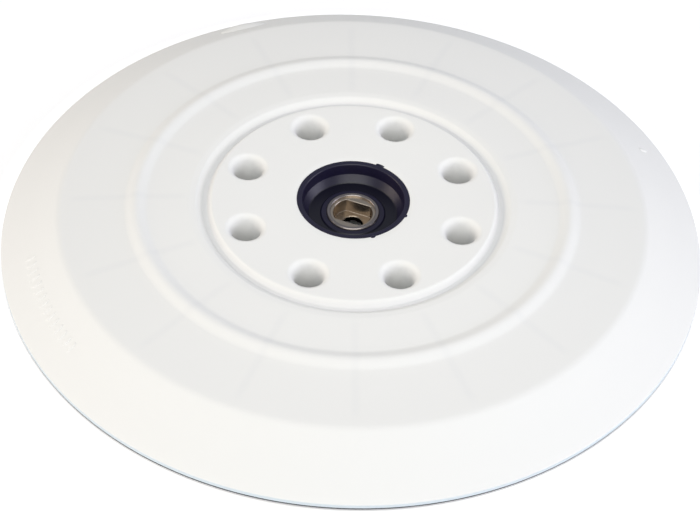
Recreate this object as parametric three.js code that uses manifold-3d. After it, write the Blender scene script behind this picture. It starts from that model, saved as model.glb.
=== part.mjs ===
// A round backing pad for a disc sander: a white polyurethane moulding over a ribbed nylon carrier,
// with a steel drive insert in the carrier's hub and a hook facing bonded underneath.
// Millimetres. Z points up, and Z = 0 is the plane of the hook tips that the pad lies on.

import * as THREE from 'three';
import { mergeVertices } from 'three/addons/utils/BufferGeometryUtils.js';
import Module from 'manifold-3d';

// Driving dimensions

const padRadius = 107.5;
const sides = 48; // facets round a full turn
const boreSides = 16; // facets round the screw opening and the dust holes
const fit = 0.3; // room between the moulding, the carrier and the insert
const through = 5; // how far a cutter runs past the face that it cuts

// the hook facing, from the hook tips up
const hookHeight = 1.0;
const backingThickness = 0.5;
const filmThickness = 0.15;
const hookInset = 1.5; // how far the outermost hooks stand in from the rim
const backingInset = 0.1;
const hookClearance = 0.4; // how far the hooks stand clear of the screw opening and the dust holes
const facingBoreRadius = 13; // the way in for the pad screw, through the facing and the foam
const padBottom = hookHeight + backingThickness + filmThickness;

// the moulding's top, from the rim inward: radius and height of each corner
const landTop = 2.9; // top of the upright outer edge
const rimBreak = 0.3; // chamfer between the upright edge and the bevel
const bevelTop = { radius: 89.6, height: 14.3 };
const bevelCorner = { reach: 2.5, drop: 0.35 }; // the soft corner at the top of the bevel
const bead = { radius: 66.05, halfWidth: 3.85, height: 1.1, footOuter: 15.65, footInner: 16.1 };
const beadSteps = 6;
const groove = { outerLip: 50, bottomOuter: 45.9, bottomInner: 44.6, innerLip: 43, depth: 1.8 };
const grooveShoulder = { radius: 47.9, height: 16.45 }; // foot of the gentle slope outside the groove
const grooveBreak = { radius: 43.6, height: 16.4 }; // foot of the rounded inner lip
const annulusTop = 16.6; // the ring outside the groove
const discTop = 16.75; // the flat inner disc, at the groove
const hubTop = 16.6; // the hub's rim and the disc's inner edge

// dust holes
const dustHoleCount = 8;
const dustCircleRadius = 35;
const dustHoleRadius = 4.05;
const dustMouth = { radius: 6.6, depth: 5.5 }; // the flared mouth, as two cones
const dustMouthBend = { radius: 5.2, depth: 0.9 }; // where the two meet
const facingHoleRadius = 5.2; // through the film and the hook facing

// the carrier: a cup in a web plate with radial ribs on it
const cup = { radius: 17.2, wallRadius: 15.3, wallDepth: 3.8, floorRadius: 13.4, floorDepth: 6.0 };
const cupLipRadius = 15.5;
const cupLipBreak = 0.3;
const boss = { radius: 9.6, height: 0.4 }; // the raised ring round the insert
const hubBottom = 4.25;
const web = { radius: 88, bottom: 8, top: 10, holeRadius: 6.5 };
const rim = { width: 2, top: 12.4 }; // the ring that ties the rib ends together
const ribCount = 16;
const rib = { width: 2.2, start: 50, innerTop: 14.6, outerTop: 12.4 };

// the drive insert
const insert = { radius: 8.2, top: 11.6, bottom: hubBottom };
const seatSkirt = 1; // plain round length of the insert's seat, below its flange
const flange = { acrossFlats: 22, bottom: 5.4, top: 7.2 }; // keeps the insert from turning in the nylon
const socket = { radius: 6.0, halfFlats: 4.6, top: 10.9, floor: 6.25 };
const counterboreRadius = 6.9;
const screwHoleRadius = 3.2; // clearance for an M6 screw
const screwHoleChamfer = 0.4;
const barrelSides = 32; // facets round the insert and its seat

const wasm = await Module();
wasm.setup();

// A closed three.js geometry as a manifold solid.
function solid(geometry) {
  const bare = geometry.clone();
  bare.deleteAttribute('normal');
  bare.deleteAttribute('uv');
  const merged = mergeVertices(bare, 1e-4);
  const mesh = new wasm.Mesh({
    numProp: 3,
    vertProperties: new Float32Array(merged.attributes.position.array),
    triVerts: new Uint32Array(merged.index.array),
  });
  return new wasm.Manifold(mesh);
}

// A solid of revolution about Z. Points are [radius, height] pairs from the bottom of the axis,
// round the outside, and back to the top of the axis, or a closed loop clear of the axis.
function turned(points, facets = sides) {
  const profile = points.map(([radius, height]) => new THREE.Vector2(radius, height));
  const geometry = new THREE.LatheGeometry(profile, facets);
  geometry.rotateX(Math.PI / 2);
  return solid(geometry);
}

function cylinder(radius, bottom, top, facets = sides) {
  return turned([[0, bottom], [radius, bottom], [radius, top], [0, top]], facets);
}

// Copies of one solid, moved out to a pitch circle and spread evenly round it.
function spread(one, count, circleRadius) {
  let all = null;
  for (let i = 0; i < count; i += 1) {
    const copy = one.translate([circleRadius, 0, 0]).rotate([0, 0, (360 / count) * i]);
    all = all ? all.add(copy) : copy;
  }
  return all;
}

// The outline of the moulding's top, from the rim to the axis. The bead is a raised cosine.
function topOutline() {
  const bevelSlope = (bevelTop.height - landTop) / (padRadius - bevelTop.radius);
  const bevelAngle = Math.atan(bevelSlope);
  const beadOuter = bead.radius + bead.halfWidth;
  const annulusSlope = (bead.footOuter - bevelTop.height) / (bevelTop.radius - beadOuter);
  const outline = [
    [padRadius, padBottom],
    [padRadius, landTop - rimBreak],
    [padRadius - rimBreak, landTop + rimBreak * bevelSlope],
    [
      bevelTop.radius + bevelCorner.reach * Math.cos(bevelAngle),
      bevelTop.height - bevelCorner.reach * Math.sin(bevelAngle),
    ],
    [bevelTop.radius, bevelTop.height - bevelCorner.drop],
    [bevelTop.radius - bevelCorner.reach, bevelTop.height + bevelCorner.reach * annulusSlope],
  ];
  for (let i = 0; i <= beadSteps; i += 1) {
    const across = 1 - (2 * i) / beadSteps;
    const foot = THREE.MathUtils.lerp(bead.footOuter, bead.footInner, i / beadSteps);
    const rise = bead.height * 0.5 * (1 + Math.cos(Math.PI * across));
    outline.push([bead.radius + bead.halfWidth * across, foot + rise]);
  }
  outline.push([groove.outerLip, annulusTop]);
  outline.push([grooveShoulder.radius, grooveShoulder.height]);
  outline.push([groove.bottomOuter, discTop - groove.depth]);
  outline.push([groove.bottomInner, discTop - groove.depth]);
  outline.push([grooveBreak.radius, grooveBreak.height]);
  outline.push([groove.innerLip, discTop]);
  outline.push([cup.radius, hubTop], [0, hubTop]);
  return outline;
}

// One dust hole through the moulding, with its rounded mouth.
function dustHoleCutter() {
  const points = [
    [0, padBottom - through],
    [dustHoleRadius, padBottom - through],
    [dustHoleRadius, discTop - dustMouth.depth],
    [dustMouthBend.radius, discTop - dustMouthBend.depth],
    [dustMouth.radius, discTop],
    [dustMouth.radius, discTop + through],
    [0, discTop + through],
  ];
  return turned(points, boreSides);
}

// One rib, standing on the web plate and running along +X. grow widens it on every side.
function ribSolid(grow) {
  const outerEnd = web.radius - rim.width / 2;
  const root = (web.bottom + web.top) / 2;
  const side = new THREE.Shape();
  side.moveTo(rib.start - grow, root);
  side.lineTo(outerEnd, root);
  side.lineTo(outerEnd, rib.outerTop + grow);
  side.lineTo(rib.start - grow, rib.innerTop + grow);
  const thickness = rib.width + 2 * grow;
  const geometry = new THREE.ExtrudeGeometry(side, { depth: thickness, bevelEnabled: false });
  geometry.translate(0, 0, -thickness / 2);
  geometry.rotateX(Math.PI / 2);
  return solid(geometry);
}

// The carrier without its cup: hub stub, web plate, rim ring and ribs, all grown by the same amount.
function carrierOutside(grow, stubTop) {
  const innerRim = web.radius - rim.width - grow;
  const points = [
    [0, hubBottom - grow],
    [cup.radius + grow, hubBottom - grow],
    [cup.radius + grow, web.bottom - grow],
    [web.radius + grow, web.bottom - grow],
    [web.radius + grow, rim.top + grow],
    [innerRim, rim.top + grow],
    [innerRim, web.top + grow],
    [cup.radius + grow, web.top + grow],
    [cup.radius + grow, stubTop],
    [0, stubTop],
  ];
  const dustClearance = cylinder(web.holeRadius - grow, web.bottom - through, discTop + through, boreSides);
  return turned(points)
    .subtract(spread(dustClearance, dustHoleCount, dustCircleRadius))
    .add(spread(ribSolid(grow), ribCount, 0));
}

function padMoulding() {
  const outline = [[0, padBottom], ...topOutline()];
  const screwWay = cylinder(facingBoreRadius, padBottom - through, hubBottom, boreSides);
  return turned(outline)
    .subtract(carrierOutside(fit, hubTop + through))
    .subtract(screwWay)
    .subtract(spread(dustHoleCutter(), dustHoleCount, dustCircleRadius));
}

// The space that the insert takes in the carrier, or the insert's own outside when grow is 0.
function insertOutside(grow, top) {
  const hexRadius = (flange.acrossFlats / 2 + grow) / Math.cos(Math.PI / 6);
  const barrel = cylinder(insert.radius + grow, insert.bottom, top, barrelSides);
  return barrel.add(cylinder(hexRadius, flange.bottom - grow, flange.top + grow, 6));
}

function hubCarrier() {
  const floor = hubTop - cup.floorDepth;
  const bowl = turned([
    [0, floor + boss.height],
    [boss.radius, floor + boss.height],
    [boss.radius + boss.height, floor],
    [cup.floorRadius, floor],
    [cup.wallRadius, hubTop - cup.wallDepth],
    [cup.wallRadius, hubTop - cupLipBreak],
    [cupLipRadius, hubTop],
    [cupLipRadius, hubTop + through],
    [0, hubTop + through],
  ]);
  const seat = insertOutside(fit, hubTop + through).add(
    cylinder(insert.radius + fit, hubBottom - through, hubBottom + seatSkirt, barrelSides),
  );
  return carrierOutside(0, hubTop).subtract(bowl).subtract(seat);
}

function driveInsert() {
  const flats = new THREE.BoxGeometry(2 * through + 2 * socket.radius, 2 * socket.halfFlats, 4 * through);
  const round = cylinder(socket.radius, socket.floor, insert.top + through, barrelSides);
  const counterbore = cylinder(counterboreRadius, socket.top, insert.top + through, barrelSides);
  const hole = turned(
    [
      [0, insert.bottom - through],
      [screwHoleRadius, insert.bottom - through],
      [screwHoleRadius, socket.floor - screwHoleChamfer],
      [screwHoleRadius + screwHoleChamfer, socket.floor],
      [screwHoleRadius + screwHoleChamfer, socket.floor + screwHoleChamfer],
      [0, socket.floor + screwHoleChamfer],
    ],
    boreSides,
  );
  const flatsAtSocket = solid(flats).translate([0, 0, socket.floor + through]);
  return insertOutside(0, insert.top)
    .subtract(round.intersect(flatsAtSocket))
    .subtract(counterbore)
    .subtract(hole);
}

// One flat layer of the facing, with its screw opening and its dust holes.
function facingLayer(radius, bottom, top, boreRadius, holeRadius) {
  const hole = cylinder(holeRadius, bottom - through, top + through, boreSides);
  const bore = cylinder(boreRadius, bottom - through, top + through, boreSides);
  return cylinder(radius, bottom, top)
    .subtract(bore)
    .subtract(spread(hole, dustHoleCount, dustCircleRadius));
}

function hookPile() {
  const boreRadius = facingBoreRadius + hookClearance;
  const holeRadius = facingHoleRadius + hookClearance;
  return facingLayer(padRadius - hookInset, 0, hookHeight, boreRadius, holeRadius);
}

function hookBacking() {
  const top = hookHeight + backingThickness;
  return facingLayer(padRadius - backingInset, hookHeight, top, facingBoreRadius, facingHoleRadius);
}

function adhesiveFilm() {
  const bottom = hookHeight + backingThickness;
  return facingLayer(padRadius - 2 * backingInset, bottom, padBottom, facingBoreRadius, facingHoleRadius);
}

// A manifold solid as a flat-shaded geometry.
function geometryOf(shape) {
  const { vertProperties, triVerts } = shape.getMesh();
  const geometry = new THREE.BufferGeometry();
  geometry.setAttribute('position', new THREE.BufferAttribute(vertProperties, 3));
  geometry.setIndex(new THREE.BufferAttribute(triVerts, 1));
  geometry.computeVertexNormals();
  return geometry;
}

const white = { color: 0xecedea, roughness: 0.55, metalness: 0 };
const navy = { color: 0x1c1a33, roughness: 0.42, metalness: 0 };
const steel = { color: 0x9c8f84, roughness: 0.35, metalness: 0.9 };
const film = { color: 0xcfc9b8, roughness: 0.6, metalness: 0 };
const cloth = { color: 0x23262e, roughness: 0.9, metalness: 0 };
const hooks = { color: 0x2b2e36, roughness: 0.8, metalness: 0 };

const pad = new THREE.Group();

function addPiece(name, shape, look) {
  const piece = new THREE.Mesh(geometryOf(shape), new THREE.MeshStandardMaterial(look));
  piece.name = name;
  pad.add(piece);
}

addPiece('pad_moulding', padMoulding(), white);
addPiece('hub_carrier', hubCarrier(), navy);
addPiece('drive_insert', driveInsert(), steel);
addPiece('adhesive_film', adhesiveFilm(), film);
addPiece('hook_backing', hookBacking(), cloth);
addPiece('hook_pile', hookPile(), hooks);

export default pad;
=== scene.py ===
import functools
import math
import random

import bmesh
import bpy
from mathutils import Matrix, Vector


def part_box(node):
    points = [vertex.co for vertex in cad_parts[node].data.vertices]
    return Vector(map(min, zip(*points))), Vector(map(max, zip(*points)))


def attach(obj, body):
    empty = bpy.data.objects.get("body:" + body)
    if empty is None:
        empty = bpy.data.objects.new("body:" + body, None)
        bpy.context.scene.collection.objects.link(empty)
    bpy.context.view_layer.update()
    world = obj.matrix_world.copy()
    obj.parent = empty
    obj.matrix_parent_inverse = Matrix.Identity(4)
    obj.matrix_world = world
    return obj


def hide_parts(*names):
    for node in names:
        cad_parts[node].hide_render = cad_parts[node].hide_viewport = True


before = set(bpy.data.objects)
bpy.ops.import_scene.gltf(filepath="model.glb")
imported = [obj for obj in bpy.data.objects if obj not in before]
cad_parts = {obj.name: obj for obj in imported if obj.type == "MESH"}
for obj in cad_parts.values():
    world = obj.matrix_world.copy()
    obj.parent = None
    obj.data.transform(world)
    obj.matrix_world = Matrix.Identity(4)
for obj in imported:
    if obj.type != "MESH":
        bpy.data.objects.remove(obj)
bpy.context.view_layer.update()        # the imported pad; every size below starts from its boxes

mm = 0.001
noiseLow, noiseHigh = 0.3, 0.7      # a noise stays mostly between these

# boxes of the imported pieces, in mm
mouldLow, mouldHigh = (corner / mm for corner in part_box("pad_moulding"))
hubLow, hubHigh = (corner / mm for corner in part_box("hub_carrier"))
insertLow, insertHigh = (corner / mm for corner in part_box("drive_insert"))
filmLow, filmHigh = (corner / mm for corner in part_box("adhesive_film"))
clothLow, clothHigh = (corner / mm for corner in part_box("hook_backing"))
hookLow, hookHigh = (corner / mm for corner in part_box("hook_pile"))

around = 400             # steps round a full turn on the big rings
dustHoles = {
    "count": 8,
    "circle": 35.0,      # radius of the circle that their centres lie on
    "zoneIn": 27.7,      # the ring of surface that holds the holes
    "zoneOut": 42.3,
    "sideSteps": 18,     # steps along the straight sides of one hole's share of the ring
}


# small tools

def toLinear(hexColour):
    # sRGB hex to the linear colour that the shader wants
    channels = [int(hexColour[i:i + 2], 16) / 255 for i in (1, 3, 5)]
    linear = [c / 12.92 if c <= 0.04045 else ((c + 0.055) / 1.055) ** 2.4 for c in channels]
    return (*linear, 1.0)


def addNode(material, kind, sockets, out=0, **settings):
    # adds a node and returns one of its outputs. sockets maps an input's name or number to a value,
    # or to another node's output
    node = material.node_tree.nodes.new("ShaderNode" + kind)
    for name, value in settings.items():
        setattr(node, name, value)
    for name, value in sockets.items():
        if isinstance(value, bpy.types.NodeSocket):
            material.node_tree.links.new(value, node.inputs[name])
        else:
            node.inputs[name].default_value = value
    return node.outputs[out] if node.outputs else node


def startMaterial(name):
    # an empty material, addNode tied to it, and the place on the piece in mm
    material = bpy.data.materials.new(name)
    material.use_nodes = True
    material.node_tree.nodes.clear()
    add = functools.partial(addNode, material)
    where = add("VectorMath", {0: add("TexCoord", {}, "Object"), 3: 1 / mm}, operation="SCALE")
    return material, add, where


def roundedLine(corners, steps=6):
    # corners are (radius, height, fillet) in mm, and a fillet becomes an arc
    line = []
    for i, (radius, height, fillet) in enumerate(corners):
        here = Vector((radius, height))
        if fillet <= 0:
            line.append(here)
            continue
        back = Vector(corners[i - 1][:2]) - here
        ahead = Vector(corners[i + 1][:2]) - here
        half = back.angle(ahead) / 2
        reach = min(fillet / math.tan(half), 0.48 * min(back.length, ahead.length))
        middle = (back.normalized() + ahead.normalized()).normalized()
        centre = here + middle * (reach / math.cos(half))
        start = here + back.normalized() * reach - centre
        sweep = start.angle_signed(here + ahead.normalized() * reach - centre)
        for k in range(steps + 1):
            line.append(centre + Matrix.Rotation(-sweep * k / steps, 2) @ start)
    return line


def spacedLine(line, longest):
    # the same line with no step longer than longest
    spaced = [line[0]]
    for start, end in zip(line, line[1:]):
        parts = max(1, math.ceil((end - start).length / longest))
        spaced += [start.lerp(end, k / parts) for k in range(1, parts + 1)]
    return spaced


def revolve(bm, line, steps, shape=None, closed=False):
    # turns a line of (radius, height) in mm about the axis; shape may move a point up or down
    columns = []
    for i in range(steps):
        angle = 2 * math.pi * i / steps
        column = []
        for radius, height in line:
            lift = shape(radius, height, angle) if shape else 0.0
            point = (radius * math.cos(angle), radius * math.sin(angle), height + lift)
            column.append(bm.verts.new(Vector(point) * mm))
        columns.append(column)
    joinColumns(bm, columns, len(line) if closed else len(line) - 1)


def joinColumns(bm, columns, rows):
    # faces between each column of points and the next, all the way round
    for i, here in enumerate(columns):
        there = columns[(i + 1) % len(columns)]
        for k in range(rows):
            up = (k + 1) % len(here)
            bm.faces.new((here[k], there[k], there[up], here[up]))


def holeSectors(bm, loops):
    # the ring of surface round the dust holes. Each loop is (share, radius, height): share 1 lies
    # on the border of the hole's sector and 0 on a circle round the hole; height is a number or a
    # function of the distance from the pad's axis
    holes = dustHoles
    half = math.pi / holes["count"]
    arcSteps = around // holes["count"]
    outward, inward = holes["zoneOut"], holes["zoneIn"]
    corners = ((outward, -half), (outward, half), (inward, half), (inward, -half))   # distance, angle
    for hole in range(holes["count"]):
        turn = hole * 2 * half
        centre = Vector((math.cos(turn), math.sin(turn))) * holes["circle"]
        border = []
        for i, corner in enumerate(corners):
            start, end = Vector(corner), Vector(corners[(i + 1) % 4])
            steps = holes["sideSteps"] if i % 2 else arcSteps
            for k in range(steps):
                distance, angle = start.lerp(end, k / steps)
                border.append((distance, turn + angle))
        rings = []
        for share, radius, height in loops:
            ring = []
            for distance, angle in border:
                edge = Vector((math.cos(angle), math.sin(angle))) * distance
                circle = centre + (edge - centre).normalized() * radius
                flat = circle.lerp(edge, share)
                level = height(flat.length) if callable(height) else height
                ring.append(bm.verts.new(Vector((flat.x, flat.y, level)) * mm))
            rings.append(ring)
        for inner, outer in zip(rings, rings[1:]):
            for k in range(len(inner)):
                n = (k + 1) % len(inner)
                bm.faces.new((inner[k], inner[n], outer[n], outer[k]))


def finishPiece(bm, name, material, slot, *nodes, sharpAngle=32):
    # welds the patches into one closed mesh and puts the piece on the frame
    bmesh.ops.remove_doubles(bm, verts=bm.verts, dist=0.002 * mm)
    bmesh.ops.recalc_face_normals(bm, faces=bm.faces)
    mesh = bpy.data.meshes.new(name)
    bm.to_mesh(mesh)
    bm.free()
    piece = bpy.data.objects.new(name, mesh)
    bpy.context.scene.collection.objects.link(piece)
    piece.data.materials.append(material)
    smoothPiece(piece, sharpAngle)
    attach(piece, "root")
    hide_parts(*nodes)
    return piece


def smoothPiece(piece, sharpAngle):
    piece.data.shade_smooth()
    piece.data.set_sharp_from_angle(angle=math.radians(sharpAngle))


def toolFrom(bm, name):
    # a closed mesh that only cuts or joins another
    bmesh.ops.recalc_face_normals(bm, faces=bm.faces)
    mesh = bpy.data.meshes.new(name)
    bm.to_mesh(mesh)
    bm.free()
    tool = bpy.data.objects.new(name, mesh)
    bpy.context.scene.collection.objects.link(tool)
    return tool


def combine(piece, tool, operation, sharpAngle=32):
    # an exact boolean, applied to the mesh
    change = piece.modifiers.new("change", "BOOLEAN")
    change.operation = operation
    change.solver = "EXACT"
    change.object = tool
    ready = piece.evaluated_get(bpy.context.evaluated_depsgraph_get())
    mesh = bpy.data.meshes.new_from_object(ready)
    piece.modifiers.clear()
    piece.data = mesh
    bpy.data.objects.remove(tool)
    smoothPiece(piece, sharpAngle)


def polar(radius, degrees, height):
    # a point in metres from its distance to the axis, its direction and its height
    angle = math.radians(degrees)
    return Vector((radius * math.cos(angle), radius * math.sin(angle), height)) * mm


# camera, floor and light

view = {
    "azimuth": 20.4,        # degrees; 0 looks along +Y
    "elevation": 44.9,
    "distance": 640.0,      # mm from the point it looks at
    "roll": 2.45,
    "lens": 107.72,         # mm, on a 36 mm sensor
    "aimSide": -0.2,        # mm to the right of the pad's axis, as the camera sees it
    "aimNear": 11.85,       # mm towards the camera
}


def addCamera():
    azimuth = math.radians(view["azimuth"])
    elevation = math.radians(view["elevation"])
    roll = math.radians(view["roll"])
    flat = math.cos(elevation)
    back = Vector((math.sin(azimuth) * flat, -math.cos(azimuth) * flat, math.sin(elevation)))
    right = Vector((math.cos(azimuth), math.sin(azimuth), 0.0))
    up = back.cross(right)
    towards = Vector((math.sin(azimuth), -math.cos(azimuth), 0.0))
    aim = right * view["aimSide"] + towards * view["aimNear"] + Vector((0, 0, clothLow.z))
    rolledRight = right * math.cos(roll) + up * math.sin(roll)
    rolledUp = up * math.cos(roll) - right * math.sin(roll)
    camera = bpy.data.objects.new("camera", bpy.data.cameras.new("camera"))
    bpy.context.scene.collection.objects.link(camera)
    camera.data.lens = view["lens"]
    camera.data.sensor_width = 36.0
    camera.data.clip_start = 0.01
    place = Matrix((rolledRight, rolledUp, back)).transposed().to_4x4()
    place.translation = (aim + back * view["distance"]) * mm
    camera.matrix_world = place
    bpy.context.scene.camera = camera


studio = {
    "floorHex": "#FFFFFF",
    "floorGlow": 0.1,       # lifts the floor to plain white paper
    "rimGlow": 0.5,         # painted glow on the paper round the rim, which hides the contact shadow
    "rimGlowWidth": 6.0,    # mm
    "worldHex": "#F4F8FF",
    "world": 0.46,
    "boxes": [              # name, azimuth and elevation that the light comes from, size m, power W, hex
        ("frontBox", 20.0, 48.0, 1.6, 14.3, "#FFFEFA"),
        ("leftBox", -70.0, 15.0, 1.0, 8.4, "#FFECD8"),
        ("rightBox", 110.0, 15.0, 1.0, 9.9, "#F2F0FF"),
    ],
    "reach": 1.5,           # m from the pad to each light
}


def addStudio():
    floorMesh = bmesh.new()
    bmesh.ops.create_grid(floorMesh, x_segments=1, y_segments=1, size=4.0)
    floor = toolFrom(floorMesh, "floor")
    floor.location.z = hookLow.z * mm
    paper, add, where = startMaterial("whitePaperSweep")
    distance = add("VectorMath", {0: where}, "Value", operation="LENGTH")
    rim, fade = mouldHigh.x, mouldHigh.x + studio["rimGlowWidth"]
    # painted glow: the paper glows brightest round the rim, to hide the contact shadow there
    glow = add("MapRange", {0: distance, 1: rim + 1, 2: fade, 3: studio["rimGlow"], 4: studio["floorGlow"]})
    lit = add("MapRange", {0: distance, 1: hookHigh.x, 2: rim + 0.5, 3: 0.0, 4: glow})   # dark under the pad
    surface = add("BsdfPrincipled", {
        "Base Color": toLinear(studio["floorHex"]),
        "Roughness": 0.95,
        "Specular IOR Level": 0.0,
        "Emission Color": (1, 1, 1, 1),
        "Emission Strength": lit,
    })
    add("OutputMaterial", {"Surface": surface})
    floor.data.materials.append(paper)
    world = bpy.data.worlds.new("studioWorld")
    world.use_nodes = True
    background = world.node_tree.nodes["Background"]
    background.inputs["Color"].default_value = toLinear(studio["worldHex"])
    background.inputs["Strength"].default_value = studio["world"]
    bpy.context.scene.world = world
    for name, azimuth, elevation, size, power, tint in studio["boxes"]:
        angle = math.radians(azimuth)
        height = math.radians(elevation)
        flat = math.cos(height)
        back = Vector((math.sin(angle) * flat, -math.cos(angle) * flat, math.sin(height)))
        light = bpy.data.objects.new(name, bpy.data.lights.new(name, "AREA"))
        bpy.context.scene.collection.objects.link(light)
        light.data.shape = "DISK"
        light.data.size = size
        light.data.energy = power
        light.data.color = toLinear(tint)[:3]
        light.location = back * studio["reach"]
        light.rotation_mode = "QUATERNION"
        light.rotation_quaternion = back.to_track_quat("Z", "Y")
    bpy.context.scene.view_settings.view_transform = "Standard"


addCamera()
addStudio()
print("camera, floor and lights are in place")


# white moulding

moulding = {
    "hubOpening": hubHigh.z,         # height of the disc where it meets the hub
    "openingRadius": 17.23,
    "openingFillet": 0.25,
    "discTop": 16.75,                # at the groove's inner lip
    "screwWay": 13.0,                # radius of the opening for the pad screw, underneath
    "ledge": hubLow.z,               # the hub stands on this ledge
    "grooveIn": 43.3,                # top of the inner wall
    "grooveFloorIn": 44.6,
    "grooveFloorOut": 45.9,
    "grooveOut": 47.9,               # top of the outer wall
    "grooveOutHeight": 16.45,
    "grooveFloor": 14.95,
    "grooveFillets": (1.3, 0.6, 0.7, 1.4),   # from the inner lip to the outer one
    "annulusStart": 50.0,            # the outer lip falls gently from here into the groove
    "annulusLip": 16.6,
    "annulusFillet": 3.0,
    "beadIn": 62.2,
    "beadOut": 69.9,
    "beadFootIn": 16.1,
    "beadFootOut": 15.65,
    "beadRise": 1.1,
    "bevelTop": 89.6,
    "bevelTopHeight": 14.3,
    "bevelFillet": 5.0,
    "landTop": 2.9,                  # top of the upright rim
    "landFillet": 0.5,
    "mouth": 6.6,                    # radius at which a dust hole starts to curve down
    "flare": 7.2,                    # length of the curved wall, measured down along it
    "flareEase": 3.0,                # how fast it turns upright
    "flareSteps": 14,
    "flareCrowding": 1.5,            # above 1, the steps are shorter near the mouth
    "mouthRings": (1.0, 0.72, 0.46, 0.22, 0.08),   # rings between the hole's sector and its mouth
    "boreRings": (8.0, 5.5),         # heights of the rings down the bore
    "longestStep": 2.4,              # of the mesh, along the section
    "sinkDepth": 0.012,              # how far the skin sinks in over a rib
    "sinkWidth": 3.4,
    "sinkLead": 2.0,                 # it begins this far before the rib
    "sinkFade": 3.0,                 # and takes this long to reach its depth
    "sinkAbove": 12.0,               # only skin above this height sinks in or shows the ribs
    "skinHexes": ("#EFEFEC", "#F3F3EF"),
    "cloud": 26.0,                   # across a patch of slightly different tone
    "outerHex": "#EAEAE7",           # the skin greys a little on its way out
    "outerSpan": (28.0, 100.0),
    "ribHex": "#C9CCD2",             # over the dark ribs
    "ribShow": 0.07,
    "grooveShadeHex": "#E5E5E4",          # painted shade in the groove's floor, where its walls shade it
    "rimEdgeShadeHex": "#CAD4DA",         # painted cool shade on the upright rim edge and below it
    "holeShadeHex": "#E7E7E5",            # painted shade down inside the dust holes
    "pore": 0.9,                     # skin texture, drawn coarser than the real 0.2 to show
    "poreDepth": 0.012,
    "flow": 9.0,                     # across a duller or a shinier patch
    "roughness": (0.56, 0.64),
}
ribs = {
    "count": 16,
    "start": 50.0,           # distances from the pad's axis
    "end": 87.0,
    "width": 2.2,
    "fade": (1.0, 4.0),      # the shade starts this far outside a rib's end and is full this far in
}


def discHeight(radius):
    # the inner disc dips a little towards the hub
    inner, outer = moulding["openingRadius"], moulding["grooveIn"]
    share = (radius - inner) / (outer - inner)
    return moulding["hubOpening"] + (moulding["discTop"] - moulding["hubOpening"]) * share


def beadLine():
    # the raised bead, as a raised cosine
    m = moulding
    steps = 16
    line = []
    for k in range(steps + 1):
        share = k / steps
        rise = m["beadRise"] * 0.5 * (1 - math.cos(2 * math.pi * share))
        foot = m["beadFootIn"] + (m["beadFootOut"] - m["beadFootIn"]) * share
        line.append((m["beadIn"] + (m["beadOut"] - m["beadIn"]) * share, foot + rise, 0))
    return line


def sinkAt(radius, height, angle):
    # the skin sinks in over the ribs of the carrier, less so near their ends
    m = moulding
    start, end = ribs["start"] - m["sinkLead"], m["bevelTop"]
    if height < m["sinkAbove"] or not start < radius < end:
        return 0.0
    offset = radius * abs(math.sin(angle * ribs["count"] / 2)) / (ribs["count"] / 2)
    if offset > m["sinkWidth"] / 2:
        return 0.0
    ends = min(1.0, (radius - start) / m["sinkFade"], (end - radius) / m["sinkFade"])
    return -m["sinkDepth"] * ends * 0.5 * (1 + math.cos(2 * math.pi * offset / m["sinkWidth"]))


def mouldingOuterLine():
    m = moulding
    innerLip, floorIn, floorOut, outerLip = m["grooveFillets"]
    corners = [
        (dustHoles["zoneOut"], discHeight(dustHoles["zoneOut"]), 0),
        (m["grooveIn"], m["discTop"], innerLip),
        (m["grooveFloorIn"], m["grooveFloor"], floorIn),
        (m["grooveFloorOut"], m["grooveFloor"], floorOut),
        (m["grooveOut"], m["grooveOutHeight"], outerLip),
        (m["annulusStart"], m["annulusLip"], m["annulusFillet"]),
        *beadLine(),
        (m["bevelTop"], m["bevelTopHeight"], m["bevelFillet"]),
        (mouldHigh.x, m["landTop"], m["landFillet"]),
        (mouldHigh.x, mouldLow.z, 0),
        (dustHoles["zoneOut"], mouldLow.z, 0),
    ]
    return spacedLine(roundedLine(corners), m["longestStep"])


def mouldingInnerLine():
    m = moulding
    corners = [
        (dustHoles["zoneIn"], mouldLow.z, 0),
        (m["screwWay"], mouldLow.z, 0),
        (m["screwWay"], m["ledge"], 0),
        (m["openingRadius"], m["ledge"], 0),
        (m["openingRadius"], m["hubOpening"], m["openingFillet"]),
        (dustHoles["zoneIn"], discHeight(dustHoles["zoneIn"]), 0),
    ]
    return spacedLine(roundedLine(corners, 3), m["longestStep"])


def flareSteps():
    # the curved wall of a dust hole, as (radius, drop) from its mouth down to where it is upright
    m = moulding
    steps, parts = m["flareSteps"], 12       # each step is summed in this many parts
    radius, drop = m["mouth"], 0.0
    line = [(radius, drop)]
    for k in range(steps):
        start, end = (m["flare"] * (n / steps) ** m["flareCrowding"] for n in (k, k + 1))
        for i in range(parts):
            share = (start + (end - start) * (i + 0.5) / parts) / m["flare"]
            tilt = 0.5 * math.pi * (1 - (1 - share) ** m["flareEase"])
            radius -= (end - start) / parts * math.cos(tilt)
            drop += (end - start) / parts * math.sin(tilt)
        line.append((radius, drop))
    return line


def holeLoops():
    # from the sector's border on the top, down the flared wall and out along the underside
    flare = flareSteps()
    loops = [(share, flare[0][0], discHeight) for share in moulding["mouthRings"]]
    for radius, drop in flare:
        loops.append((0.0, radius, lambda distance, drop=drop: discHeight(distance) - drop))
    bore = flare[-1][0]
    loops += [(0.0, bore, height) for height in (*moulding["boreRings"], mouldLow.z)]
    loops += [(share, bore, mouldLow.z) for share in (0.3, 1.0)]
    return loops


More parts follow.
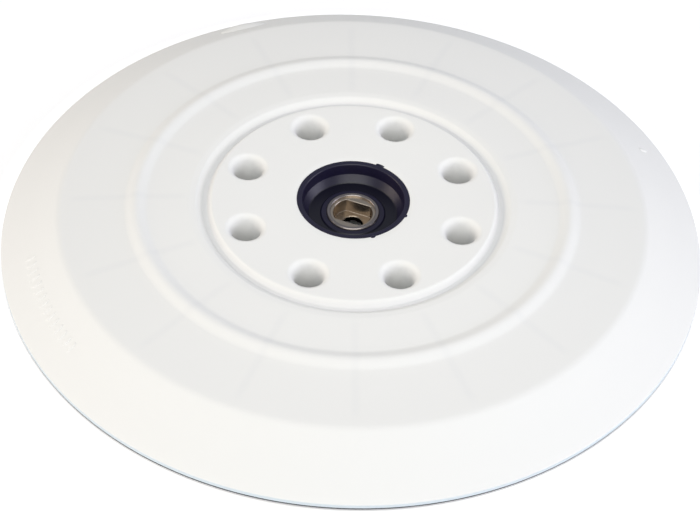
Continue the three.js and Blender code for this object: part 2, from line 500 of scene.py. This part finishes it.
def ribShade(add, where, radius):
    # how far the dark ribs show through the skin: a soft line over each, faded at both of its ends
    # and away from the top. Each mask takes the one before it as its full value
    x, y, height = add("SeparateXYZ", {0: where}).node.outputs
    angle = add("Math", {0: y, 1: x}, operation="ARCTAN2")
    turns = add("Math", {0: angle, 1: ribs["count"] / 2}, operation="MULTIPLY")
    wave = add("Math", {0: add("Math", {0: turns}, operation="SINE")}, operation="ABSOLUTE")
    offset = add("Math", {0: wave, 1: radius}, operation="MULTIPLY")
    spread = ribs["width"] * ribs["count"] / 2
    line = add("MapRange", {0: offset, 1: 0.0, 2: spread, 3: moulding["ribShow"], 4: 0.0},
               interpolation_type="SMOOTHERSTEP")
    outside, inside = ribs["fade"]
    start, end = ribs["start"], ribs["end"]
    started = add("MapRange", {0: radius, 1: start - outside, 2: start + inside, 3: 0.0, 4: line},
                  interpolation_type="SMOOTHSTEP")
    ended = add("MapRange", {0: radius, 1: end - inside, 2: end + outside, 3: started, 4: 0.0},
                interpolation_type="SMOOTHSTEP")
    above = moulding["sinkAbove"]
    return add("MapRange", {0: height, 1: above, 2: above + 1.5, 3: 0.0, 4: ended})


def mouldedPolyurethane():
    # integral-skin polyurethane foam, moulded: a soft white satin skin, a little uneven in tone,
    # with a grey breath of the dark ribs under it
    material, add, where = startMaterial("mouldedPolyurethane")
    m = moulding
    height = add("SeparateXYZ", {0: where}, "Z")
    flat = add("VectorMath", {0: where, 1: (1, 1, 0)}, operation="MULTIPLY")
    radius = add("VectorMath", {0: flat}, "Value", operation="LENGTH")
    inward = add("MapRange", {0: radius, 1: m["grooveIn"], 2: m["grooveFloorIn"]})
    floorOut, top, lip = m["grooveFloorOut"], m["hubOpening"], m["grooveIn"]
    sunk = add("MapRange", {0: height, 1: top - 0.2, 2: top - 1.4})
    coats = [                # where each tone shows, from 0 to 1, and the tone
        (add("MapRange", {0: radius, 1: m["outerSpan"][0], 2: m["outerSpan"][1]}), m["outerHex"]),
        (ribShade(add, where, radius), m["ribHex"]),
        # painted shade on the groove's floor
        (add("MapRange", {0: radius, 1: floorOut, 2: floorOut + 0.9, 3: inward, 4: 0.0}), m["grooveShadeHex"]),
        # painted cool shade on the upright rim edge
        (add("MapRange", {0: height, 1: m["landTop"] + 0.1, 2: m["landTop"] - 0.3}), m["rimEdgeShadeHex"]),
        # painted shade down inside the dust holes and the hub opening
        (add("MapRange", {0: radius, 1: lip - 0.8, 2: lip - 0.3, 3: sunk, 4: 0.0}), m["holeShadeHex"]),
    ]
    cloud = add("TexNoise", {"Vector": where, "Scale": 1 / m["cloud"], "Detail": 3.0})
    first, second = (toLinear(tone) for tone in m["skinHexes"])
    colour = add("Mix", {0: cloud, 6: first, 7: second}, 2, data_type="RGBA")
    for shown, tone in coats:
        colour = add("Mix", {0: shown, 6: colour, 7: toLinear(tone)}, 2, data_type="RGBA")
    flow = add("TexNoise", {"Vector": where, "Scale": 1 / m["flow"]})
    smoothest, roughest = m["roughness"]
    pores = add("TexNoise", {"Vector": where, "Scale": 1 / m["pore"]})
    surface = add("BsdfPrincipled", {
        "Base Color": colour,
        "Roughness": add("MapRange", {0: flow, 1: noiseLow, 2: noiseHigh, 3: smoothest, 4: roughest}),
        "Normal": add("Bump", {"Height": pores, "Distance": m["poreDepth"] * mm}),
        "IOR": 1.45,
        "Specular IOR Level": 0.15,
    })
    add("OutputMaterial", {"Surface": surface})
    return material


def domeAt(bm, centre, outward, along, sizes, level):
    # a low dome on the bevel: sizes are half length, half width and height; a level above 1 draws
    # its top to a peak, and one below 1 flattens it
    across = outward.cross(along)
    rings, steps = 6, 40
    footDepth = 0.6          # the foot stands in the bevel, so that the two join
    top = bm.verts.new((centre + outward * sizes[2]) * mm)
    loops = []
    for k in range(1, rings + 1):
        tilt = 0.5 * math.pi * k / rings
        spread = math.sin(tilt)
        rise = math.cos(tilt) ** level
        loop = []
        for i in range(steps):
            turn = 2 * math.pi * i / steps
            offset = along * (math.cos(turn) * sizes[0]) + across * (math.sin(turn) * sizes[1])
            loop.append(bm.verts.new((centre + offset * spread + outward * sizes[2] * rise) * mm))
        loops.append(loop)
    foot = [bm.verts.new(v.co - outward * (footDepth * mm)) for v in loops[-1]]
    loops.append(foot)
    for i in range(steps):
        bm.faces.new((top, loops[0][i], loops[0][(i + 1) % steps]))
        for inner, outer in zip(loops, loops[1:]):
            bm.faces.new((inner[i], outer[i], outer[(i + 1) % steps], inner[(i + 1) % steps]))
    bm.faces.new(list(reversed(foot)))


bevelMarks = {               # share of the way down the bevel, half sizes and height, level
    "tab": (0.54, (7.9, 3.2, 1.35), 2.0),      # a plain oval tab, where such pads carry a mark
    "tabAngle": 133.9,
    "tick": (0.5, (0.7, 1.9, 0.17), 0.5),      # plain moulded ticks
    "tickAngles": (214.2, 237.0),
    "tickCount": 15,
    "gate": (0.54, (0.9, 1.6, 0.35), 0.8),     # the stub of the mould's gate
    "gateAngle": 42.6,
}


def bevelPoint(degrees, share):
    # a point on the bevel, share of the way down, with the outward direction and the tangent
    m = moulding
    angle = math.radians(degrees)
    top = Vector((m["bevelTop"], m["bevelTopHeight"]))
    foot = Vector((mouldHigh.x, m["landTop"]))
    place = top.lerp(foot, share)
    slope = (foot - top).normalized()
    out = Vector((math.cos(angle), math.sin(angle), 0))
    point = out * place.x + Vector((0, 0, place.y))
    outward = (out * -slope.y + Vector((0, 0, slope.x))).normalized()
    along = Vector((-math.sin(angle), math.cos(angle), 0))
    return point, outward, along


def addMoulding():
    bm = bmesh.new()
    revolve(bm, mouldingOuterLine(), around, sinkAt)
    revolve(bm, mouldingInnerLine(), around)
    holeSectors(bm, holeLoops())
    piece = finishPiece(bm, "white_moulding", mouldedPolyurethane(), "white_polyurethane", "pad_moulding")
    b = bevelMarks
    first, last = b["tickAngles"]
    spots = [(b["tabAngle"], b["tab"])]
    for k in range(b["tickCount"]):
        spots.append((first + (last - first) * k / (b["tickCount"] - 1), b["tick"]))
    spots.append((b["gateAngle"], b["gate"]))
    marks = bmesh.new()
    for degrees, (share, sizes, level) in spots:
        domeAt(marks, *bevelPoint(degrees, share), sizes, level)
    combine(piece, toolFrom(marks, "marks"), "UNION")
    return piece


whiteMoulding = addMoulding()
print("white moulding:", len(whiteMoulding.data.polygons), "faces")


# hub carrier

insertSeat = 8.12            # radius of the opening in the nylon round the steel
hub = {
    "lip": 15.55,             # inside edge of the flat rim
    "wall": 15.3,
    "wallDepth": 3.8,
    "floorRadius": 13.4,
    "floorDepth": 6.0,
    "bossRadius": 9.6,
    "bossHeight": 0.4,
    "rim": 17.2,
    "webBottom": hubLow.z + 3.75,
    "webTop": hubLow.z + 5.75,
    "webRadius": hubHigh.x,
    "edgeTop": 12.4,         # top of the ring that ties the rib ends
    "edgeWidth": 2.0,
    "ribInner": 14.6,        # heights of a rib's two ends
    "ribOuter": 12.35,
    "webHole": 6.5,
    "softEdge": 0.3,         # fillets: most hidden edges, then the places that differ
    "ringEdge": 0.4,
    "rootEdge": 0.5,
    "footEdge": 0.2,
    "rimEdge": 0.15,
    "lipEdge": 0.5,
    "wallEdge": 0.15,
    "floorEdge": 0.35,
    "bossFoot": 0.1,
    "bossEdge": 0.12,
    "longestStep": 6.0,
    "nibs": (                # flash left on the rim: direction, half length, half width
        (84.0, 1.5, 0.45),
        (-2.0, 0.7, 0.4),
        (-48.2, 0.8, 0.6),
    ),
    "nibRise": 0.22,         # half height
    "nibOut": 0.2,           # how far their middles stand outside the rim, and below its top
    "nibSunk": 0.02,
    "nibRagged": 0.25,       # how unevenly their points stick out
    "nylonHexes": ("#110E24", "#1A1634"),
    "cloud": 4.0,            # across a patch of slightly different tone
    "fibreHex": "#2E2B40",
    "fibre": 0.35,           # a tangle of glass fibres; the real strands are finer, drawn to show
    "fibreDepth": 0.015,
    "floorHex": "#06051A",   # the cup's floor, where little light gets in
    "roughness": (0.30, 0.44),
}


def mouldedNylon():
    # PA6 with glass fibre, moulded: near-black navy with a violet cast, satin, with pale streaks
    # where the fibres swim in the flow
    material, add, where = startMaterial("mouldedGlassNylon")
    h = hub
    cloud = add("TexNoise", {"Vector": where, "Scale": 1 / h["cloud"], "Detail": 3.0})
    fibres = add("TexNoise", {"Vector": where, "Scale": 1 / h["fibre"], "Roughness": 0.6})
    height = add("SeparateXYZ", {0: where}, "Z")
    cupFloor = hubHigh.z - h["floorDepth"]
    streaks = add("MapRange", {0: fibres, 1: 0.58, 2: 0.8, 3: 0.0, 4: 0.5})
    low = add("MapRange", {0: height, 1: cupFloor + 0.35, 2: cupFloor + 0.2})
    first, second = (toLinear(tone) for tone in h["nylonHexes"])
    colour = add("Mix", {0: cloud, 6: first, 7: second}, 2, data_type="RGBA")
    for shown, tone in ((streaks, h["fibreHex"]), (low, h["floorHex"])):
        colour = add("Mix", {0: shown, 6: colour, 7: toLinear(tone)}, 2, data_type="RGBA")
    smoothest, roughest = h["roughness"]
    surface = add("BsdfPrincipled", {
        "Base Color": colour,
        "Roughness": add("MapRange", {0: fibres, 1: noiseLow, 2: noiseHigh, 3: smoothest, 4: roughest}),
        "Normal": add("Bump", {"Height": fibres, "Distance": h["fibreDepth"] * mm}),
        "IOR": 1.53,
        "Specular IOR Level": 0.42,
    })
    add("OutputMaterial", {"Surface": surface})
    return material


def addHub():
    h = hub
    top = hubHigh.z
    floor = top - h["floorDepth"]
    ringInside = h["webRadius"] - h["edgeWidth"]
    corners = [
        (insertSeat, hubLow.z, 0),
        (h["rim"], hubLow.z, h["footEdge"]),
        (h["rim"], h["webBottom"], h["softEdge"]),
        (h["webRadius"], h["webBottom"], h["softEdge"]),
        (h["webRadius"], h["edgeTop"], h["ringEdge"]),
        (ringInside, h["edgeTop"], h["ringEdge"]),
        (ringInside, h["webTop"], h["softEdge"]),
        (h["rim"], h["webTop"], h["rootEdge"]),
        (h["rim"], top, h["rimEdge"]),
        (h["lip"], top, h["lipEdge"]),
        (h["wall"], top - h["wallDepth"], h["wallEdge"]),
        (h["floorRadius"], floor, h["floorEdge"]),
        (h["bossRadius"] + h["bossHeight"], floor, h["bossFoot"]),
        (h["bossRadius"], floor + h["bossHeight"], h["bossEdge"]),
        (insertSeat, floor + h["bossHeight"], 0),
    ]
    bm = bmesh.new()
    revolve(bm, spacedLine(roundedLine(corners, 4), h["longestStep"]), 192, closed=True)
    piece = finishPiece(bm, "hub_cup_and_web", mouldedNylon(), "navy_nylon", "hub_carrier")
    holes = bmesh.new()
    radius = h["webHole"] * mm
    for k in range(dustHoles["count"]):
        place = polar(dustHoles["circle"], 360 * k / dustHoles["count"], (h["webBottom"] + h["webTop"]) / 2)
        bmesh.ops.create_cone(holes, cap_ends=True, segments=48, radius1=radius, radius2=radius,
                              depth=3 * (h["webTop"] - h["webBottom"]) * mm, matrix=Matrix.Translation(place))
    combine(piece, toolFrom(holes, "webHoles"), "DIFFERENCE")
    walls = bmesh.new()
    for k in range(ribs["count"]):
        addRib(walls, 360 * k / ribs["count"])
    combine(piece, toolFrom(walls, "ribs"), "UNION")
    addNibs(piece, top)
    return piece


def addRib(bm, degrees):
    # one upright rib on the web, from the groove to the ring at the edge
    h = hub
    root = (h["webBottom"] + h["webTop"]) / 2
    outer = h["webRadius"] - h["edgeWidth"] / 2
    inner = ribs["start"]
    side = [(inner, root), (outer, root), (outer, h["ribOuter"]), (inner, h["ribInner"])]
    turn = Matrix.Rotation(math.radians(degrees), 4, "Z")
    faces = []
    for y in (-ribs["width"] / 2, ribs["width"] / 2):
        faces.append([bm.verts.new(turn @ (Vector((x, y, z)) * mm)) for x, z in side])
    left, right = faces
    bm.faces.new(left)
    bm.faces.new(list(reversed(right)))
    for k in range(4):
        n = (k + 1) % 4
        bm.faces.new((left[k], right[k], right[n], left[n]))


def addNibs(piece, top):
    # small rags of moulding flash that stand over the rim
    random.seed(4)
    rags = bmesh.new()
    for degrees, length, width in hub["nibs"]:
        made = bmesh.ops.create_icosphere(rags, subdivisions=2, radius=1.0)["verts"]
        place = polar(hub["rim"] + hub["nibOut"], degrees, top - hub["nibSunk"])
        turn = Matrix.Rotation(math.radians(degrees), 4, "Z")
        for vert in made:
            jitter = 1 + hub["nibRagged"] * (random.random() - 0.5)
            shape = Vector((vert.co.x * width, vert.co.y * length, vert.co.z * hub["nibRise"]))
            vert.co = place + turn @ shape * mm * jitter
    combine(piece, toolFrom(rags, "rags"), "UNION")


hubPiece = addHub()
print("hub carrier:", len(hubPiece.data.polygons), "faces")


# drive insert

insert = {
    "radius": 8.1,
    "hexHalf": 11.0,             # half the flats of the hidden hexagon
    "hexBottom": insertLow.z + 1.15,
    "hexTop": insertLow.z + 2.95,
    "collarBreak": 0.25,         # chamfer on the collar's outside edge
    "mouth": 6.9,
    "mouthBreak": 0.15,
    "land": insertHigh.z - 0.7,
    "socket": 6.05,
    "flat": 4.6,
    "edge": 0.12,                # broken edge of the socket
    "floor": insertLow.z + 2.0,
    "bore": 3.2,
    "boreBreak": 0.2,
    "steps": 180,                # round a full turn
    "collarHex": "#96908F",
    "plateHexes": ("#A59B90", "#C6BCAE"),
    "smear": 3.0,                # across a patch of slightly different tone
    # painted brown reflection, strongest down in the socket
    "brownReflectionHex": "#80684C",
    "brownReflectionShow": (0.75, 0.15),     # strength of the painted brown reflection in the bottom of the socket and at its mouth
    # painted black shade in the bore
    "boreShadeHex": "#0B0A09",
    "turning": 0.22,             # between two turning marks
    "turningDepth": 0.004,
    "roughness": (0.26, 0.40),
}


def socketRadius(angle, shrink=0.0):
    # the two-flat outline of the socket
    s = insert
    rise = abs(math.sin(angle))
    flat = s["flat"] / rise if rise > 0 else math.inf
    return min(s["socket"], flat) - shrink


def hexRadius(angle):
    sixth = math.pi / 3
    away = (angle + sixth / 2) % sixth - sixth / 2
    return insert["hexHalf"] / math.cos(away)


def insertAngles():
    # even steps, with one exactly on each corner of the socket and of the hexagon
    corner = math.asin(insert["flat"] / insert["socket"])
    exact = [corner, math.pi - corner, math.pi + corner, 2 * math.pi - corner]
    exact += [math.radians(30 + 60 * k) for k in range(6)]
    even = [2 * math.pi * k / insert["steps"] for k in range(insert["steps"])]
    closest = 0.008          # radians; a step nearer than this to a corner gives way to it
    kept = [a for a in even if all(abs(a - e) > closest for e in exact)]
    return sorted(kept + exact)


def turnedSteel():
    # turned and broached steel with a dull nickel plate: warm grey, with fine turning rings, a painted
    # brown reflection that grows down the socket, and painted black shade in the bore
    material, add, where = startMaterial("turnedNickelSteel")
    t = insert
    height = add("SeparateXYZ", {0: where}, "Z")
    flat = add("VectorMath", {0: where, 1: (1, 1, 0)}, operation="MULTIPLY")
    radius = add("VectorMath", {0: flat}, "Value", operation="LENGTH")
    waves = add("Math", {0: radius, 1: 2 * math.pi / t["turning"]}, operation="MULTIPLY")
    rings = add("Math", {0: waves}, operation="SINE")
    smears = add("TexNoise", {"Vector": where, "Scale": 1 / t["smear"], "Detail": 3.0})
    collar = add("MapRange", {0: height, 1: t["land"] + 0.1, 2: insertHigh.z - 0.1})
    deep, shallow = t["brownReflectionShow"]
    # painted brown reflection, strongest at the socket's floor and fading towards its mouth
    reflectionStrength = add("MapRange", {0: height, 1: t["floor"], 2: t["land"], 3: deep, 4: shallow})
    reflectionMask = add("Math", {0: reflectionStrength, 1: smears}, operation="MULTIPLY")
    # painted shade: the bore below the socket's floor is painted black and made fully rough
    bore = add("MapRange", {0: height, 1: t["floor"] - 0.25, 2: t["floor"] - 0.5})
    first, second = (toLinear(tone) for tone in t["plateHexes"])
    colour = add("Mix", {0: smears, 6: first, 7: second}, 2, data_type="RGBA")
    for shown, tone in ((collar, t["collarHex"]), (reflectionMask, t["brownReflectionHex"]), (bore, t["boreShadeHex"])):
        colour = add("Mix", {0: shown, 6: colour, 7: toLinear(tone)}, 2, data_type="RGBA")
    smoothest, roughest = t["roughness"]
    rough = add("MapRange", {0: smears, 1: noiseLow, 2: noiseHigh, 3: smoothest, 4: roughest})
    surface = add("BsdfPrincipled", {
        "Base Color": colour,
        "Metallic": 1.0,
        "Roughness": add("Math", {0: rough, 1: bore}, operation="MAXIMUM"),
        "Normal": add("Bump", {"Height": rings, "Distance": t["turningDepth"] * mm}),
    })
    add("OutputMaterial", {"Surface": surface})
    return material


def addInsert():
    s = insert
    top, bottom = insertHigh.z, insertLow.z
    rows = [
        (lambda a: s["radius"], bottom),
        (lambda a: s["radius"], s["hexBottom"]),
        (hexRadius, s["hexBottom"]),
        (hexRadius, s["hexTop"]),
        (lambda a: s["radius"], s["hexTop"]),
        (lambda a: s["radius"], top - s["collarBreak"]),
        (lambda a: s["radius"] - s["collarBreak"], top),
        (lambda a: s["mouth"] + s["mouthBreak"], top),
        (lambda a: s["mouth"], top - s["mouthBreak"]),
        (lambda a: s["mouth"], s["land"]),
        (lambda a: socketRadius(a, -s["edge"]), s["land"]),
        (lambda a: socketRadius(a), s["land"] - s["edge"]),
        (lambda a: socketRadius(a), s["floor"] + s["edge"]),
        (lambda a: socketRadius(a, s["edge"]), s["floor"]),
        (lambda a: s["bore"] + s["boreBreak"], s["floor"]),
        (lambda a: s["bore"], s["floor"] - s["boreBreak"]),
        (lambda a: s["bore"], bottom + s["boreBreak"]),
        (lambda a: s["bore"] + s["boreBreak"], bottom),
    ]
    bm = bmesh.new()
    angles = insertAngles()
    columns = []
    for angle in angles:
        column = []
        for reach, height in rows:
            radius = reach(angle)
            point = (radius * math.cos(angle), radius * math.sin(angle), height)
            column.append(bm.verts.new(Vector(point) * mm))
        columns.append(column)
    joinColumns(bm, columns, len(rows))
    return finishPiece(bm, "steel_insert", turnedSteel(), "insert_steel", "drive_insert", sharpAngle=24)


insertPiece = addInsert()
print("drive insert:", len(insertPiece.data.polygons), "faces")


# hook facing: film, ground cloth and hooks

facing = {
    "bore": 13.0,
    "hole": 5.2,
    "clothEdge": 0.12,
    "longestStep": 12.0,
    "filmHexes": ("#C9BF9E", "#D8D0B6"),
    "filmStreak": 5.0,           # across a paler or a darker patch
    "threadHexes": ("#1D2129", "#333944"),
    "thread": 0.55,              # real threads are about 0.25 apart, drawn coarser to show
    "threadDepth": 0.06,
    "hookHexes": ("#262A32", "#3A404C"),
    "hookLot": 14.0,             # across hooks of one tone
    "hookPitch": 2.95,           # real hooks stand about 1.3 apart; drawn wider to keep the mesh light
    "rowPitch": 0.9,             # distance between rows, as a share of the pitch
    "scatter": (0.3, 0.2),       # how far a hook strays, along its row and across it
    "clearance": (1.2, 0.7, 1.1),   # from the screw opening, the edge and a dust hole
    "hookWire": 0.16,            # radius of one filament, thicker than real to make up for that
    "hookLean": 0.42,            # how far a hook reaches over
}


def layerLines(radius, bottom, top, bore, edge):
    # the outside and the inside of one flat layer
    zoneIn, zoneOut = dustHoles["zoneIn"], dustHoles["zoneOut"]
    outer = [(zoneOut, top, 0), (radius, top, edge), (radius, bottom, edge), (zoneOut, bottom, 0)]
    inner = [(zoneIn, bottom, 0), (bore, bottom, edge), (bore, top, edge), (zoneIn, top, 0)]
    return [spacedLine(roundedLine(line, 3), facing["longestStep"]) for line in (outer, inner)]


def addLayer(name, radius, bottom, top, edge, material, slot, node):
    bm = bmesh.new()
    hole = facing["hole"]
    for line in layerLines(radius, bottom, top, facing["bore"], edge):
        revolve(bm, line, around)
    loops = [(share, hole, top) for share in (1.0, 0.3, 0.0)]
    loops += [(share, hole, bottom) for share in (0.0, 0.3, 1.0)]
    holeSectors(bm, loops)
    return finishPiece(bm, name, material, slot, node)


def clearFilm():
    # pressure-sensitive adhesive film: honey-coloured, glossy at its cut edge
    material, add, where = startMaterial("adhesiveFilm")
    streaks = add("TexNoise", {"Vector": where, "Scale": 1 / facing["filmStreak"]})
    first, second = (toLinear(tone) for tone in facing["filmHexes"])
    surface = add("BsdfPrincipled", {
        "Base Color": add("Mix", {0: streaks, 6: first, 7: second}, 2, data_type="RGBA"),
        "Roughness": add("MapRange", {0: streaks, 1: noiseLow, 2: noiseHigh, 3: 0.25, 4: 0.4}),
    })
    add("OutputMaterial", {"Surface": surface})
    return material


def wovenNylon():
    # plain-woven nylon ground cloth with a resin back: charcoal, dull, a fine basket of threads
    material, add, where = startMaterial("wovenNylonGround")
    turns = add("VectorMath", {0: where, 3: 2 * math.pi / facing["thread"]}, operation="SCALE")
    waves = add("VectorMath", {0: turns}, operation="SINE")
    warp, weft = add("SeparateXYZ", {0: waves}).node.outputs[:2]
    crossing = add("Math", {0: warp, 1: weft}, operation="MULTIPLY")
    weave = add("MapRange", {0: crossing, 1: -1.0, 2: 1.0})
    first, second = (toLinear(tone) for tone in facing["threadHexes"])
    surface = add("BsdfPrincipled", {
        "Base Color": add("Mix", {0: weave, 6: first, 7: second}, 2, data_type="RGBA"),
        "Roughness": 0.85,
        "Sheen Weight": 0.2,
        "Normal": add("Bump", {"Height": weave, "Distance": facing["threadDepth"] * mm}),
    })
    add("OutputMaterial", {"Surface": surface})
    return material


def hookNylon():
    # nylon monofilament: charcoal, a soft plastic gleam along each wire
    material, add, where = startMaterial("nylonMonofilament")
    lots = add("TexNoise", {"Vector": where, "Scale": 1 / facing["hookLot"]})
    first, second = (toLinear(tone) for tone in facing["hookHexes"])
    surface = add("BsdfPrincipled", {
        "Base Color": add("Mix", {0: lots, 6: first, 7: second}, 2, data_type="RGBA"),
        "Roughness": add("MapRange", {0: lots, 1: noiseLow, 2: noiseHigh, 3: 0.35, 4: 0.5}),
    })
    add("OutputMaterial", {"Surface": surface})
    return material


def hookSpots():
    # woven rows of hooks over the facing, clear of the dust holes and of the screw opening
    random.seed(11)
    pitch = facing["hookPitch"]
    along, across = facing["scatter"]
    fromBore, fromEdge, fromHole = facing["clearance"]
    nearest, farthest = facing["bore"] + fromBore, hookHigh.x - fromEdge
    reach = int(hookHigh.x / pitch) + 2
    turns = [360 * k / dustHoles["count"] for k in range(dustHoles["count"])]
    holes = [polar(dustHoles["circle"], turn, 0) / mm for turn in turns]
    spots = []
    for row in range(-reach, reach + 1):
        for column in range(-reach, reach + 1):
            x = (column + 0.5 * (row % 2)) * pitch + along * (random.random() - 0.5)
            y = row * pitch * facing["rowPitch"] + across * (random.random() - 0.5)
            spot = Vector((x, y, 0))
            lean = (1 if column % 2 else -1, 0.5 * (random.random() - 0.5))
            if not nearest < spot.length < farthest:
                continue
            if min((spot - hole).length for hole in holes) < facing["hole"] + fromHole:
                continue
            spots.append((spot, lean))
    return spots


def addHooks():
    # each hook is a filament that comes down from the cloth and bends over at the bottom
    wire = facing["hookWire"]
    lean = facing["hookLean"]
    top, bottom = clothLow.z + 0.05, hookLow.z + wire
    spine = [                # from the cloth to the tip: how far over, and the height
        (0.0, top),
        (0.0, bottom + lean),
        (lean * 0.35, bottom + 0.08),
        (lean * 0.95, bottom + 0.05),
        (lean * 1.3, bottom + 0.3),
    ]
    verts, faces = [], []
    for spot, (side, skew) in hookSpots():
        heading = Vector((side, skew, 0)).normalized()
        cross = Vector((-heading.y, heading.x, 0))
        first = len(verts)
        for i, (out, height) in enumerate(spine):
            before = spine[max(i - 1, 0)]
            after = spine[min(i + 1, len(spine) - 1)]
            run = (heading * (after[0] - before[0]) + Vector((0, 0, after[1] - before[1]))).normalized()
            normal = run.cross(cross)
            centre = spot + heading * out + Vector((0, 0, height))
            thin = wire * (0.8 if i == len(spine) - 1 else 1.0)      # the tip is cut thinner
            for corner in ((1, 0), (0, 1), (-1, 0), (0, -1)):
                point = centre + (cross * corner[0] + normal * corner[1]) * thin
                point.z = max(point.z, hookLow.z)
                verts.append(point * mm)
        for i in range(len(spine) - 1):
            for k in range(4):
                a, b = first + 4 * i + k, first + 4 * i + (k + 1) % 4
                faces.append((a, b, b + 4, a + 4))
        last = first + 4 * (len(spine) - 1)
        faces.append((first + 3, first + 2, first + 1, first))
        faces.append((last, last + 1, last + 2, last + 3))
    mesh = bpy.data.meshes.new("hook_field")
    mesh.from_pydata(verts, [], faces)
    bm = bmesh.new()
    bm.from_mesh(mesh)
    return finishPiece(bm, "hook_field", hookNylon(), "hook_monofilament", "hook_pile", sharpAngle=60)


addLayer("adhesive_layer", filmHigh.x, filmLow.z, filmHigh.z, 0, clearFilm(), "adhesive", "adhesive_film")
addLayer("ground_cloth", clothHigh.x, clothLow.z, clothHigh.z, facing["clothEdge"], wovenNylon(),
         "hook_cloth", "hook_backing")
hookPiece = addHooks()
print("hook facing:", len(hookPiece.data.polygons), "faces of hooks")
